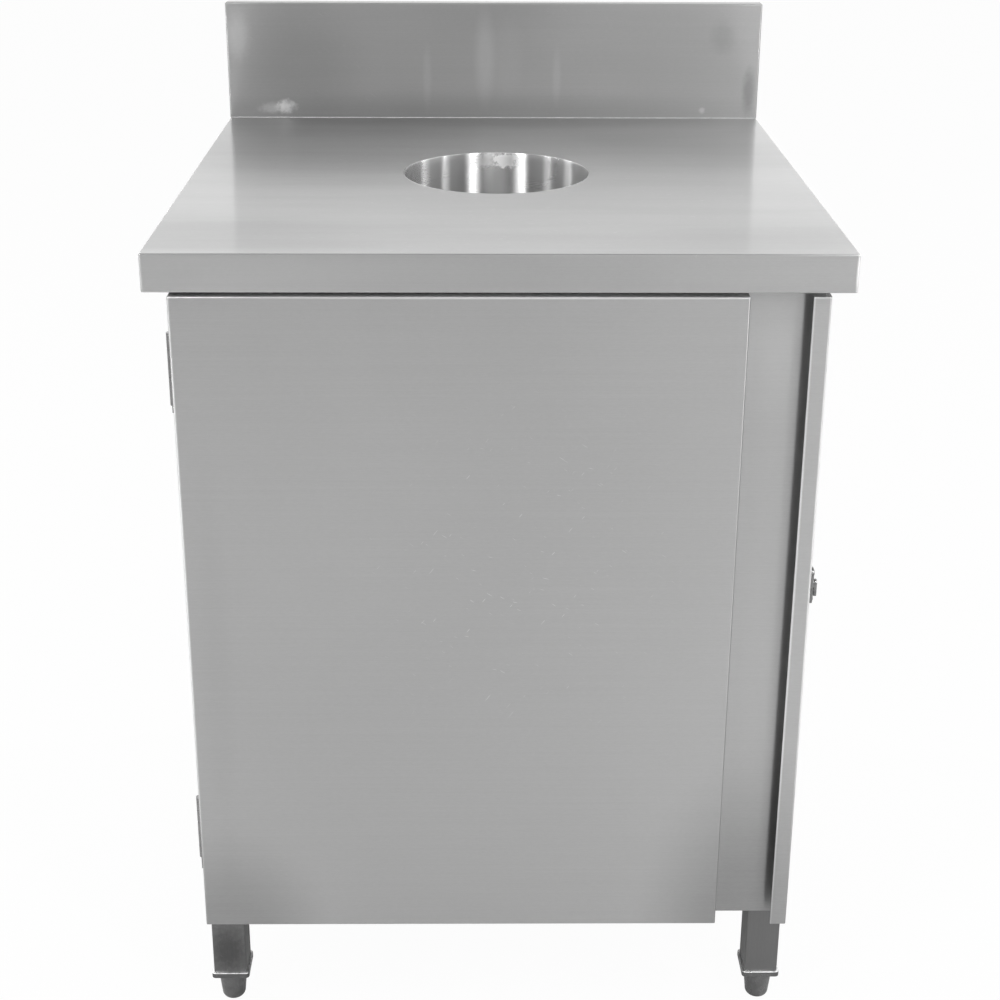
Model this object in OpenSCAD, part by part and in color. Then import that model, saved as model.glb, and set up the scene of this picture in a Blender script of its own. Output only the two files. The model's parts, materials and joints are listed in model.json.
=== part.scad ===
// Free-standing stainless steel waste cabinet: a worktop with an upstand and a round waste chute, over a
// cupboard with one hinged door, on four square legs with levelling feet.
// Millimetres. The origin is on the floor under the middle of the worktop, +X to the right, +Z up, and the
// door faces -Y. Every part is drawn in its place, with the door shut, the latch open and the feet screwed in.

/* [Sheet steel] */
// Thickness of the folded sheet
sheet = 1.2; // [0.8:0.1:2]
// Outside radius of the bends
bend_r = 2; // [1.6:0.1:4]

/* [Worktop] */
// Width of the worktop
top_w = 700; // [680:5:800]
// Depth of the worktop, with the upstand
top_d = 700; // [660:5:800]
// Height of the worktop above the floor
top_h = 917; // [850:1:960]
// Height of the folded edge of the worktop
fascia_h = 39.5; // [30:0.5:50]
// Width of the return under the folded edge
return_w = 15; // [8:1:20]
// Height of the upstand above the worktop
upstand_h = 150; // [60:5:250]
// Thickness of the boxed upstand
upstand_t = 20; // [12:1:40]
// Distance of each stiffener from the middle of the worktop
stiffener_x = 175; // [160:1:200]
// Width of a stiffener's hollow ridge
stiffener_w = 60; // [30:1:80]
// Depth of a stiffener
stiffener_h = 25; // [15:1:40]

/* [Waste chute] */
// Bore of the waste chute
chute_d = 212; // [150:1:230]
// Distance of the chute's centre behind the worktop's front edge
chute_back = 356; // [300:1:400]
// Length of the chute below the worktop's surface
chute_len = 100; // [50:5:140]
// Wall of the chute
chute_wall = 1.5; // [1:0.1:3]

/* [Body] */
// Distance of each side of the body and of the door inside the end of the worktop
side_setback = 23; // [18:1:40]
// Distance of the front legs behind the worktop's front edge
leg_setback = 38; // [36:1:60]
// Distance of the back of the body in front of the worktop's back edge
back_setback = 20; // [18:1:60]
// Width of a leg, seen from the front
leg_w = 38; // [34:1:50]
// Depth of a leg, seen from the side
leg_d = 38; // [34:1:60]
// Wall of a leg
leg_wall = 1.5; // [1.2:0.1:3]
// Height of the lower edge of the body's panels above the floor
body_bottom = 136; // [110:1:200]
// Depth of the bottom shelf's folded edge
shelf_edge = 30; // [20:1:50]
// Width of the folded edges of the side and back panels
panel_edge = 12; // [8:1:20]
// Height of the rails under the worktop
rail_h = 64; // [50:1:90]
// Depth of the rails
rail_d = 25; // [15:1:40]

/* [Door] */
// Distance of the door's face behind the worktop's front edge
door_setback = 8; // [4:1:12]
// Gap between the worktop's folded edge and the top of the door
door_top_gap = 6; // [4:0.5:15]
// Height of the door's lower edge above the floor
door_bottom = 133; // [110:1:200]
// Depth of the door's front pan
pan_d = 25.2; // [20:0.1:27]
// Width of the grip recess, from the front pan to the door's free edge
recess_w = 80; // [70:1:150]
// Depth of the grip recess, from the door's face
recess_d = 24; // [18:0.5:24]
// Width of the strip in front of the grip channel
strip_w = 18; // [10:1:25]
// Thickness of the sheet at the back of the door
inner_sheet = 1; // [0.8:0.1:1.4]
// Distance that the back sheet reaches past the front pan, behind the grip recess
inner_lap = 24; // [10:1:30]
// Diameter of the rubber bumpers
bumper_d = 10; // [6:1:12]

/* [Hinges] */
// Distance of the upper hinge's middle below the worktop's surface
hinge_upper_down = 131; // [120:1:250]
// Distance of the lower hinge's middle below the worktop's surface
hinge_lower_down = 673; // [450:1:700]
// Length of a hinge
hinge_len = 76; // [60:1:110]
// Number of knuckles in a hinge
knuckles = 5; // [3:2:9]
// Gap between two knuckles
knuckle_gap = 0.4; // [0.2:0.1:1]
// Diameter of the hinge's barrel
barrel_d = 7.5; // [7:0.5:9]
// Diameter of the hinge pin
hinge_pin_d = 4; // [3:0.5:4.5]
// Width of a hinge leaf, from the pin's middle
leaf_w = 24; // [20:1:25]
// Thickness of a hinge leaf
leaf_t = 1.5; // [1.2:0.1:1.8]
// Diameter of the hinge screws
hinge_screw_d = 4; // [3:0.5:4]

/* [Latch] */
// Distance of the latch's spindle below the worktop's surface
latch_down = 361; // [300:1:600]
// Distance of the latch's spindle behind the door's face
latch_in = 9; // [8.5:0.5:10]
// Length of the latch plate
plate_len = 41; // [38:1:60]
// Width of the latch plate
plate_w = 14; // [12:1:14]
// Thickness of the latch plate
plate_t = 3; // [2:0.5:5]
// Distance of the plate's middle below the spindle
plate_drop = 2.5; // [0:0.5:5]
// Diameter of the spindle
spindle_d = 8; // [6:0.5:9]
// Reach of the lever below the spindle's middle
lever_reach = 14; // [12:1:30]
// Thickness of the lever
lever_t = 3; // [2:0.1:6]
// Width of the lever
lever_w = 9; // [9:1:12]
// Gap between the plate and the lever
lever_gap = 1.2; // [0.8:0.1:4]
// Thickness of the hook
hook_t = 3; // [2:0.5:4]
// Width of the hook's arm
hook_w = 7; // [5:0.5:8]
// Height that the hook's nose stands over its arm
nose_h = 6; // [4:0.5:7]
// Thickness of the hook's nose
nose_t = 4.8; // [3:0.2:6]
// Clearance beside the hook in its slots
slot_gap = 1.5; // [0.6:0.1:2]
// Distance of the hook inside the door's free edge
hook_inset = 6; // [5.5:0.1:7]

/* [Feet] */
// Width that a leg's insert stands out of the leg on each side
insert_lip = 2.5; // [1:0.5:5]
// Radius of the corners of the insert's flange
insert_corner = 4; // [1:0.5:6]
// Thickness of the insert's flange
insert_t = 7; // [4:0.5:10]
// Length of the insert inside the leg
insert_len = 30; // [20:1:50]
// Height of the bullet of a foot
foot_h = 37.5; // [25:0.5:60]
// Diameter of the bullet where it meets the insert
foot_d = 33; // [28:1:38]
// Diameter of the bullet near the floor
foot_tip_d = 27; // [20:1:28]
// Radius of the bullet's lower edge
foot_round = 7; // [2:0.5:9]
// Diameter of the foot's stem
stem_d = 12; // [8:1:16]
// Length of the foot's stem
stem_len = 48; // [40:1:70]
// Gap between the bullet and the insert when the foot is screwed in
foot_gap = 0.5; // [0.2:0.1:2]

/* [Hidden] */
$fn = 64;
// Radial clearance of the running fits
run_gap = 0.05;
// Clearance of a push fit, each side
push_gap = 0.1;
// Extra length of a cut past a face
past = 1;
// Number of straight facets in a quarter bend
bend_facets = 6;
// Clearance between a bumper and the shut door
bumper_gap = 0.2;

top_under = top_h - sheet;
front_y = -top_d / 2;
back_y = top_d / 2;
door_y = front_y + door_setback;
door_back_y = door_y + pan_d + inner_sheet;
door_top = top_h - fascia_h - door_top_gap;
side_x = top_w / 2 - side_setback;
leg_front_y = front_y + leg_setback;
leg_back_y = back_y - back_setback;
leg_in_x = side_x - leg_w;
front_leg_back_y = leg_front_y + leg_d;
rear_leg_front_y = leg_back_y - leg_d;
leg_bottom = foot_h + foot_gap + insert_t;
shelf_top = body_bottom + shelf_edge;
chute_y = front_y + chute_back;
chute_r = chute_d / 2;
pan_right_x = side_x - recess_w;

// The hinge axis stands outside the body's side, in the middle of the gap behind the door.
axis_x = -side_x - barrel_d / 2;
axis_y = (door_back_y + leg_front_y) / 2;
hinge_heights = [top_h - hinge_upper_down, top_h - hinge_lower_down];
knuckle_len = (hinge_len - (knuckles - 1) * knuckle_gap) / knuckles;
leaf_screw_y = leaf_w * 0.58;
leaf_screw_z = hinge_len * 0.36;
screw_head_r = hinge_screw_d * 0.92;
screw_shank_len = 7;
screw_hole_deep = 4;
pin_head_r = barrel_d * 0.5;
pin_head_h = 1.6;
pin_tail = 7.5;

latch_y = door_y + latch_in;
latch_z = top_h - latch_down;
plate_x = side_x + plate_t;
lever_x = plate_x + lever_gap;
hook_x = side_x - hook_inset - hook_t;
nut_t = 4;
nut_across = 10;
thread_d = 6;
plate_screw_z = plate_len / 2 - 6;
plate_screw_d = 3;
bush_d = spindle_d + 4;
turn_gap = 0.2;
plate_mid_z = latch_z - plate_drop;
strike_t = 1.2;
strike_y = leg_front_y - strike_t;
// Distances from the spindle, with the hook turned level behind the leg's front wall.
nose_gap = 0.7;
nose_in = leg_front_y + leg_wall + nose_gap - latch_y;
nose_out = nose_in + nose_t;
nose_top = hook_w / 2 + nose_h;
hook_sweep = norm([nose_out, nose_top]);
slot_half_x = hook_t / 2 + slot_gap;
slot_x = hook_x + hook_t / 2;

// Folded sheet: the outline of a sheet that follows a path of straight flats with round bends.
function unit(v) = v / norm(v);
function left_of(v) = [-v.y, v.x];
function turned(v, a) = [v.x * cos(a) - v.y * sin(a), v.x * sin(a) + v.y * cos(a)];
function reversed(list) = [for (i = [len(list) - 1:-1:0]) list[i]];

// Points along one side of the bend at path[i]: side is 1 on the left of the path and -1 on the right.
function bend_points(path, i, side) =
    let (
        a = unit(path[i] - path[i - 1]),
        b = unit(path[i + 1] - path[i]),
        turn = acos(a * b),
        way = sign(cross(a, b)),
        mid_r = bend_r - sheet / 2,
        centre = path[i] - a * mid_r * tan(turn / 2) + way * mid_r * left_of(a)
    )
    [for (k = [0:bend_facets])
        centre + (mid_r - way * side * sheet / 2) * turned(-way * left_of(a), way * turn * k / bend_facets)];

function side_points(path, side) =
    let (last = len(path) - 1)
    concat(
        [path[0] + side * sheet / 2 * left_of(unit(path[1] - path[0]))],
        [for (i = [1:1:last - 1]) each bend_points(path, i, side)],
        [path[last] + side * sheet / 2 * left_of(unit(path[last] - path[last - 1]))]
    );

module folded_profile(path) {
    polygon(concat(side_points(path, 1), reversed(side_points(path, -1))));
}

// A profile drawn in X and Y, stood up to run along X, with its own X and Y along +Y and +Z.
module along_x(x0, x1) {
    translate([x0, 0, 0]) rotate([90, 0, 90]) linear_extrude(x1 - x0) children();
}

// A profile drawn in X and Y, stood up to run along Y, with its own X and Y along +X and +Z.
module along_y(y0, y1) {
    translate([0, y1, 0]) rotate([90, 0, 0]) linear_extrude(y1 - y0) children();
}

module along_z(z0, z1) {
    translate([0, 0, z0]) linear_extrude(z1 - z0) children();
}

// Rectangle with the corners that round lists cut to arcs, from the low corner anticlockwise.
function corner_points(c, d, r, first) =
    [for (k = [0:bend_facets])
        let (a = 90 * (first ? bend_facets - k : k) / bend_facets)
        c + [d.x * r * (1 - cos(a)), d.y * r * (1 - sin(a))]];

function round_rect_points(lo, hi, r, round) = [
    each (round[0] && r > 0 ? reversed(corner_points(lo, [1, 1], r, true)) : [lo]),
    each (round[1] && r > 0 ? reversed(corner_points([hi.x, lo.y], [-1, 1], r, false)) : [[hi.x, lo.y]]),
    each (round[2] && r > 0 ? reversed(corner_points(hi, [-1, -1], r, true)) : [hi]),
    each (round[3] && r > 0 ? reversed(corner_points([lo.x, hi.y], [1, -1], r, false)) : [[lo.x, hi.y]])
];

module round_rect(lo, hi, r, round = [true, true, true, true]) {
    polygon(round_rect_points(lo, hi, r, round));
}

// Box with rounded edges: round_xz and round_yz list the round corners seen from the front and the side.
module bent_box(lo, hi, r, round_xz, round_yz) {
    intersection() {
        along_z(lo.z, hi.z) round_rect([lo.x, lo.y], [hi.x, hi.y], r);
        along_y(lo.y, hi.y) round_rect([lo.x, lo.z], [hi.x, hi.z], r, round_xz);
        along_x(lo.x, hi.x) round_rect([lo.y, lo.z], [hi.y, hi.z], r, round_yz);
    }
}

module box(lo, hi) {
    translate(lo) cube(hi - lo);
}

ALL_ROUND = [true, true, true, true];
TOP_ROUND = [false, false, true, true];
FRONT_TOP_ROUND = [true, true, false, true];

// Worktop: a pan with folded edges all round, returns below, and the hole for the chute.
module worktop() {
    lo = [-top_w / 2, front_y, top_h - fascia_h];
    hi = [top_w / 2, back_y, top_h];
    wall = [sheet, sheet, sheet];
    lip = [return_w, return_w, -past];
    color("silver") difference() {
        bent_box(lo, hi, bend_r, ALL_ROUND, FRONT_TOP_ROUND);
        bent_box(lo + wall, hi - wall, bend_r - sheet, ALL_ROUND, ALL_ROUND);
        box(lo + lip, [hi.x - return_w, hi.y - return_w, lo.z + 2 * sheet]);
        translate([0, chute_y, top_h - 2 * sheet]) cylinder(r = chute_r + chute_wall, h = 3 * sheet);
    }
}

module upstand() {
    lo = [-top_w / 2, back_y - upstand_t, top_h];
    hi = [top_w / 2, back_y, top_h + upstand_h];
    wall = [sheet, sheet, 0];
    color("silver") difference() {
        bent_box(lo, hi, bend_r, TOP_ROUND, TOP_ROUND);
        bent_box(lo + wall - [0, 0, past], hi - wall - [0, 0, sheet], bend_r - sheet, TOP_ROUND, TOP_ROUND);
    }
}

module chute_collar() {
    color("gainsboro") translate([0, chute_y, top_h - chute_len]) difference() {
        cylinder(r = chute_r + chute_wall, h = chute_len);
        translate([0, 0, -past]) cylinder(r = chute_r, h = chute_len + 2 * past);
    }
}

// Hat channel: a hollow ridge between two flanges, with the flanges' upper faces at height z.
module hat_profile(x, z, ridge_w, ridge_h, flange) {
    top = z - sheet / 2;
    low = z - ridge_h + sheet / 2;
    half = ridge_w / 2 - sheet / 2;
    folded_profile([
        [x - half - flange, top], [x - half, top], [x - half, low],
        [x + half, low], [x + half, top], [x + half + flange, top]
    ]);
}

module top_stiffener(x) {
    color("darkgray") along_y(leg_front_y + rail_d, leg_back_y - sheet - rail_d)
        hat_profile(x, top_under, stiffener_w, stiffener_h, panel_edge);
}

module top_stiffener_left() {
    top_stiffener(-stiffener_x);
}

module top_stiffener_right() {
    top_stiffener(stiffener_x);
}

// Legs. side is -1 on the left and 1 on the right, and y0 is the leg's front face.
module leg_tube(side, y0) {
    x0 = side < 0 ? -side_x : leg_in_x;
    along_z(leg_bottom, top_under) difference() {
        round_rect([x0, y0], [x0 + leg_w, y0 + leg_d], bend_r);
        round_rect([x0 + leg_wall, y0 + leg_wall], [x0 + leg_w - leg_wall, y0 + leg_d - leg_wall],
            max(bend_r - leg_wall, 0.2));
    }
}

module leg_front_left() {
    color("darkgray") difference() {
        leg_tube(-1, leg_front_y);
        hinge_screw_holes(1);
    }
}

module leg_front_right() {
    color("darkgray") difference() {
        leg_tube(1, leg_front_y);
        hook_slot(leg_front_y);
    }
}

module leg_rear_left() {
    color("darkgray") leg_tube(-1, rear_leg_front_y);
}

module leg_rear_right() {
    color("darkgray") leg_tube(1, rear_leg_front_y);
}

// Insert that closes a leg's lower end and takes the stem of the foot.
module leg_insert(side, y0) {
    x0 = side < 0 ? -side_x : leg_in_x;
    fit = leg_wall + push_gap;
    color("gray") difference() {
        union() {
            along_z(leg_bottom - insert_t, leg_bottom)
                round_rect([x0 - insert_lip, y0 - insert_lip],
                    [x0 + leg_w + insert_lip, y0 + leg_d + insert_lip], insert_corner);
            along_z(leg_bottom, leg_bottom + insert_len)
                round_rect([x0 + fit, y0 + fit], [x0 + leg_w - fit, y0 + leg_d - fit], bend_r);
        }
        translate([x0 + leg_w / 2, y0 + leg_d / 2, leg_bottom - insert_t - past])
            cylinder(d = stem_d + 2 * run_gap, h = insert_t + insert_len + 2 * past);
    }
}

module leg_insert_front_left() {
    leg_insert(-1, leg_front_y);
}

module leg_insert_front_right() {
    leg_insert(1, leg_front_y);
}

module leg_insert_rear_left() {
    leg_insert(-1, rear_leg_front_y);
}

module leg_insert_rear_right() {
    leg_insert(1, rear_leg_front_y);
}

// Levelling foot: a tapered bullet with a rounded lower edge, on a stem that screws into the insert.
module foot(side, y0) {
    x = side * (side_x - leg_w / 2);
    tip_r = foot_tip_d / 2;
    shoulder = 2;
    color("gray") translate([x, y0 + leg_d / 2, 0]) rotate_extrude() {
        polygon([
            [0, 0], [tip_r - foot_round, 0], [tip_r, foot_round], [foot_d / 2, foot_h - shoulder],
            [foot_d / 2 - shoulder, foot_h], [0, foot_h]
        ]);
        intersection() {
            translate([tip_r - foot_round, foot_round]) circle(r = foot_round);
            square([tip_r, foot_round]);
        }
        square([stem_d / 2, foot_h + stem_len]);
    }
}

module foot_front_left() {
    foot(-1, leg_front_y);
}

module foot_front_right() {
    foot(1, leg_front_y);
}

module foot_rear_left() {
    foot(-1, rear_leg_front_y);
}

module foot_rear_right() {
    foot(1, rear_leg_front_y);
}

// Rails under the worktop: channels between the legs, open towards the inside.
module top_front_rail() {
    face = leg_front_y + sheet / 2;
    low = top_h - rail_h + sheet / 2;
    high = top_under - sheet / 2;
    color("darkgray") along_x(-leg_in_x, leg_in_x) folded_profile([
        [face + rail_d - sheet / 2, low], [face, low], [face, high], [face + rail_d - sheet / 2, high]
    ]);
}

module top_rear_rail() {
    face = leg_back_y - 1.5 * sheet;
    low = top_h - rail_h + sheet / 2;
    high = top_under - sheet / 2;
    inner_x = leg_in_x - bend_r;
    color("darkgray") along_x(-inner_x, inner_x) folded_profile([
        [face - rail_d + sheet / 2, low], [face, low], [face, high], [face - rail_d + sheet / 2, high]
    ]);
}

// Outline of the bottom shelf between the legs and inside the panels, drawn in by i all round. Its corners
// are cut by c to clear the inside of the panels' bends.
function shelf_outline(i) =
    let (
        c = bend_r - sheet,
        fx = leg_in_x - i,
        sx = side_x - sheet - i,
        bx = leg_in_x - sheet - i,
        y0 = leg_front_y + i,
        y1 = front_leg_back_y + sheet + i,
        y2 = rear_leg_front_y - sheet - i,
        y3 = leg_back_y - sheet - i,
        right = [
            [fx, y0], [fx, y1], [sx - c, y1], [sx, y1 + c], [sx, y2 - c], [sx - c, y2],
            [bx, y2], [bx, y3 - c], [bx - c, y3]
        ]
    )
    concat(right, [for (p = reversed(right)) [-p.x, p.y]]);

module bottom_shelf() {
    color("silver") difference() {
        along_z(body_bottom, shelf_top) polygon(shelf_outline(0));
        along_z(body_bottom - past, shelf_top - sheet) polygon(shelf_outline(sheet));
    }
}

module shelf_stiffener() {
    color("darkgray") along_y(leg_front_y + sheet, leg_back_y - 2 * sheet)
        hat_profile(0, shelf_top - sheet, stiffener_w, shelf_edge - 2 * sheet, panel_edge);
}

// Side panel between the legs of one side, with folded edges against them.
module side_panel(side) {
    face = side_x - sheet / 2;
    y0 = front_leg_back_y + sheet / 2;
    y1 = rear_leg_front_y - sheet / 2;
    edge = face - panel_edge + sheet / 2;
    path = [[side * edge, y0], [side * face, y0], [side * face, y1], [side * edge, y1]];
    color("silver") along_z(body_bottom, top_under) folded_profile(side < 0 ? reversed(path) : path);
}

module side_panel_left() {
    side_panel(-1);
}

module side_panel_right() {
    side_panel(1);
}

module back_panel() {
    x = leg_in_x - sheet / 2;
    face = leg_back_y - sheet / 2;
    edge = face - panel_edge + sheet / 2;
    color("silver") along_z(body_bottom, top_under)
        folded_profile([[x, edge], [x, face], [-x, face], [-x, edge]]);
}

// Door: a folded front pan, a flat back sheet, and a channel at the free edge that serves as the grip.
module door_front_pan() {
    lo = [-side_x, door_y, door_bottom];
    hi = [pan_right_x, door_y + pan_d, door_top];
    wall = [sheet, sheet, sheet];
    cut = [hi.x, hi.y + pan_d, hi.z];
    color("lightgray") difference() {
        bent_box(lo, hi + [0, bend_r, 0], bend_r, ALL_ROUND, ALL_ROUND);
        bent_box(lo + wall, hi + [-sheet, pan_d, -sheet], bend_r - sheet, ALL_ROUND, ALL_ROUND);
        box([lo.x - past, hi.y, lo.z - past], cut + [past, 0, past]);
        hinge_screw_holes(-1);
    }
}

module door_inner_panel() {
    inset = bend_r;
    color("silver") box(
        [-side_x + inset, door_y + pan_d, door_bottom + inset],
        [pan_right_x + inner_lap, door_back_y, door_top - inset]
    );
}

module door_stiffener() {
    deep = pan_d - sheet;
    mid = (-side_x + pan_right_x) / 2;
    color("darkgray") along_z(door_bottom + 4 * bend_r, door_top - 4 * bend_r)
        hat_profile(mid, door_y + pan_d, stiffener_w, deep, panel_edge);
}

module door_grip_channel() {
    recess_y = door_y + recess_d + sheet / 2;
    return_x = side_x - sheet / 2;
    strip_y = door_y + sheet / 2;
    color("lightgray") difference() {
        along_z(door_bottom, door_top) folded_profile([
            [pan_right_x, recess_y], [return_x, recess_y], [return_x, strip_y], [side_x - strip_w, strip_y]
        ]);
        hook_slot(door_y + recess_d);
        along_latch(side_x - sheet - past, side_x + past) circle(d = bush_d);
        plate_screw_places() circle(d = plate_screw_d);
    }
}

// Rubber bumpers on the front rail and on the shelf's folded edge.
module door_bumpers() {
    rail_z = (top_h - rail_h + door_top) / 2;
    shelf_z = body_bottom + shelf_edge / 2;
    thick = leg_front_y - door_back_y - bumper_gap;
    x = leg_in_x - 4 * bumper_d;
    color("dimgray") for (sx = [-x, pan_right_x - bumper_d], z = [rail_z, shelf_z])
        translate([sx, leg_front_y, z]) rotate([90, 0, 0]) cylinder(d = bumper_d, h = thick);
}

// Hinges. way is 1 for the leaf on the leg and -1 for the leaf on the door.
module leaf_screw_places(way) {
    for (z = [-leaf_screw_z, 0, leaf_screw_z])
        translate([-side_x, axis_y + way * leaf_screw_y, z]) rotate([0, 90, 0]) children();
}

module hinge_screw_holes(way) {
    for (h = hinge_heights) translate([0, 0, h]) leaf_screw_places(way)
        translate([0, 0, -past]) cylinder(d = hinge_screw_d, h = screw_hole_deep + past);
}

module hinge_leaf(way, height) {
    first = way > 0 ? 0 : 1;
    color("gray") translate([0, 0, height]) difference() {
        union() {
            difference() {
                box([-side_x - leaf_t, min(axis_y, axis_y + way * leaf_w), -hinge_len / 2],
                    [-side_x, max(axis_y, axis_y + way * leaf_w), hinge_len / 2]);
                for (k = [1 - first:2:knuckles - 1]) other_knuckle_cut(k);
            }
            for (k = [first:2:knuckles - 1])
                translate([axis_x, axis_y, knuckle_z(k)]) cylinder(d = barrel_d, h = knuckle_len);
        }
        translate([axis_x, axis_y, -hinge_len]) cylinder(d = hinge_pin_d + 2 * run_gap, h = 2 * hinge_len);
        leaf_screw_places(way) translate([0, 0, -leaf_t]) {
            cylinder(r1 = screw_head_r, r2 = hinge_screw_d / 2, h = leaf_t);
            translate([0, 0, -past]) cylinder(r = screw_head_r, h = past);
            cylinder(d = hinge_screw_d, h = leaf_t + past);
        }
    }
}

function knuckle_z(k) = -hinge_len / 2 + k * (knuckle_len + knuckle_gap);

module other_knuckle_cut(k) {
    reach = barrel_d / 2 + knuckle_gap;
    box([-side_x - leaf_t - past, axis_y - reach, knuckle_z(k) - knuckle_gap],
        [-side_x + past, axis_y + reach, knuckle_z(k) + knuckle_len + knuckle_gap]);
}

module hinge_pin(height) {
    color("dimgray") translate([axis_x, axis_y, height]) {
        translate([0, 0, -hinge_len / 2 - pin_tail]) cylinder(d = hinge_pin_d, h = hinge_len + pin_tail + past);
        translate([0, 0, hinge_len / 2 + run_gap]) cylinder(r = pin_head_r, h = pin_head_h);
    }
}

module upper_hinge_frame_leaf() {
    hinge_leaf(1, hinge_heights[0]);
}

module upper_hinge_door_leaf() {
    hinge_leaf(-1, hinge_heights[0]);
}

module upper_hinge_pin() {
    hinge_pin(hinge_heights[0]);
}

module lower_hinge_frame_leaf() {
    hinge_leaf(1, hinge_heights[1]);
}

module lower_hinge_door_leaf() {
    hinge_leaf(-1, hinge_heights[1]);
}

module lower_hinge_pin() {
    hinge_pin(hinge_heights[1]);
}

// Countersunk screws through both leaves of one kind.
module hinge_screws(way) {
    color("dimgray") for (h = hinge_heights) translate([0, 0, h]) leaf_screw_places(way)
        translate([0, 0, -leaf_t]) difference() {
            union() {
                cylinder(r1 = screw_head_r, r2 = hinge_screw_d / 2, h = leaf_t);
                cylinder(d = hinge_screw_d, h = screw_shank_len);
            }
            cross_recess(hinge_screw_d);
        }
}

// Cross recess in a screw's head, which lies at height 0 and faces down.
module cross_recess(d) {
    arm = d * 0.55;
    slot = d * 0.16;
    deep = d * 0.2;
    for (a = [0, 90]) rotate([0, 0, a])
        translate([-arm, -slot / 2, -past]) cube([2 * arm, slot, past + deep]);
}

module hinge_frame_screws() {
    hinge_screws(1);
}

module hinge_door_screws() {
    hinge_screws(-1);
}

// Latch. Profiles are drawn with X along +Y and Y along +Z, from the spindle's middle.
module along_latch(x0, x1) {
    translate([0, latch_y, latch_z]) along_x(x0, x1) children();
}

module plate_screw_places() {
    for (z = [-plate_screw_z, plate_screw_z])
        translate([0, 0, plate_mid_z - latch_z + z]) along_latch(side_x - sheet - past, plate_x + past)
            children();
}

// Slot that lets the hook swing through a sheet whose front face is at y.
module hook_slot(y) {
    near = y - latch_y;
    low = -sqrt(max(hook_sweep * hook_sweep - near * near, 1)) - slot_gap;
    high = hook_w / 2 + nose_gap;
    translate([0, latch_y, latch_z])
        box([slot_x - slot_half_x, near - past, low], [slot_x + slot_half_x, near + leg_wall + past, high]);
}

// Plate with round ends, and a boss round the spindle that the lever turns on.
module latch_plate() {
    color("gray") difference() {
        union() {
            translate([0, 0, plate_mid_z - latch_z]) along_latch(side_x, plate_x) union() {
                for (z = [-1, 1]) translate([0, z * (plate_len - plate_w) / 2]) circle(d = plate_w);
                translate([-plate_w / 2, -(plate_len - plate_w) / 2])
                    square([plate_w, plate_len - plate_w]);
            }
            along_latch(side_x, lever_x - turn_gap) circle(d = bush_d);
        }
        along_latch(side_x - past, lever_x + past) circle(d = spindle_d + 2 * run_gap);
        plate_screw_places() circle(d = plate_screw_d);
    }
}

module latch_plate_screws() {
    head_d = 5.5;
    head_h = 1.2;
    color("dimgray") for (z = [-plate_screw_z, plate_screw_z])
        translate([plate_x, latch_y, plate_mid_z + z]) rotate([0, -90, 0]) difference() {
            union() {
                translate([0, 0, -head_h]) cylinder(d = head_d, h = head_h);
                cylinder(d = plate_screw_d, h = plate_t + 2 * sheet);
            }
            translate([0, 0, -head_h]) cross_recess(plate_screw_d);
        }
}

// Bush between the door's free edge and the hook, which reaches through the edge to the plate.
module latch_bush() {
    color("dimgray") difference() {
        along_latch(hook_x + hook_t + turn_gap, side_x) circle(d = bush_d);
        along_latch(hook_x, side_x + past) circle(d = spindle_d + 2 * run_gap);
    }
}

// Finger lever with its spindle, which turns in the plate and the bush.
module latch_lever() {
    color("gray") union() {
        along_latch(lever_x, lever_x + lever_t) union() {
            circle(d = lever_w);
            translate([-lever_w / 2, -lever_reach + lever_w / 4]) square([lever_w, lever_reach - lever_w / 4]);
            translate([-lever_w / 4, -lever_reach]) square([lever_w / 2, lever_w / 2]);
            for (y = [-1, 1]) translate([y * lever_w / 4, -lever_reach + lever_w / 4]) circle(d = lever_w / 2);
        }
        along_latch(hook_x + hook_t, lever_x) circle(d = spindle_d);
        along_latch(hook_x - nut_t - 1, hook_x + hook_t) circle(d = thread_d);
    }
}

// Hook on the spindle's inner end, drawn hanging. Turned level, its nose stands behind the leg's wall.
module latch_hook() {
    color("gray") difference() {
        along_latch(hook_x, hook_x + hook_t) union() {
            circle(d = bush_d);
            translate([-hook_w / 2, -nose_out]) square([hook_w, nose_out]);
            translate([-hook_w / 2, -nose_out]) square([hook_w / 2 + nose_top, nose_t]);
        }
        along_latch(hook_x - past, hook_x + hook_t + past) circle(d = thread_d);
    }
}

module latch_nut() {
    color("dimgray") difference() {
        along_latch(hook_x - nut_t, hook_x) circle(d = nut_across / cos(30), $fn = 6);
        along_latch(hook_x - nut_t - past, hook_x + past) circle(d = thread_d);
    }
}

// Strike plate on the front of the right leg, with the same slot as the leg.
module latch_strike_plate() {
    edge = 8;
    low = latch_z - hook_sweep - edge;
    high = latch_z + hook_w + edge;
    color("gray") difference() {
        along_y(strike_y, leg_front_y)
            round_rect([slot_x - slot_half_x - edge, low], [side_x - bend_r, high], bend_r);
        hook_slot(strike_y);
    }
}

worktop();
upstand();
chute_collar();
top_stiffener_left();
top_stiffener_right();
leg_front_left();
leg_front_right();
leg_rear_left();
leg_rear_right();
leg_insert_front_left();
leg_insert_front_right();
leg_insert_rear_left();
leg_insert_rear_right();
foot_front_left();
foot_front_right();
foot_rear_left();
foot_rear_right();
top_front_rail();
top_rear_rail();
bottom_shelf();
shelf_stiffener();
side_panel_left();
side_panel_right();
back_panel();
door_front_pan();
door_inner_panel();
door_grip_channel();
door_stiffener();
door_bumpers();
upper_hinge_frame_leaf();
upper_hinge_door_leaf();
upper_hinge_pin();
lower_hinge_frame_leaf();
lower_hinge_door_leaf();
lower_hinge_pin();
hinge_frame_screws();
hinge_door_screws();
latch_plate();
latch_plate_screws();
latch_bush();
latch_lever();
latch_hook();
latch_nut();
latch_strike_plate();
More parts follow.
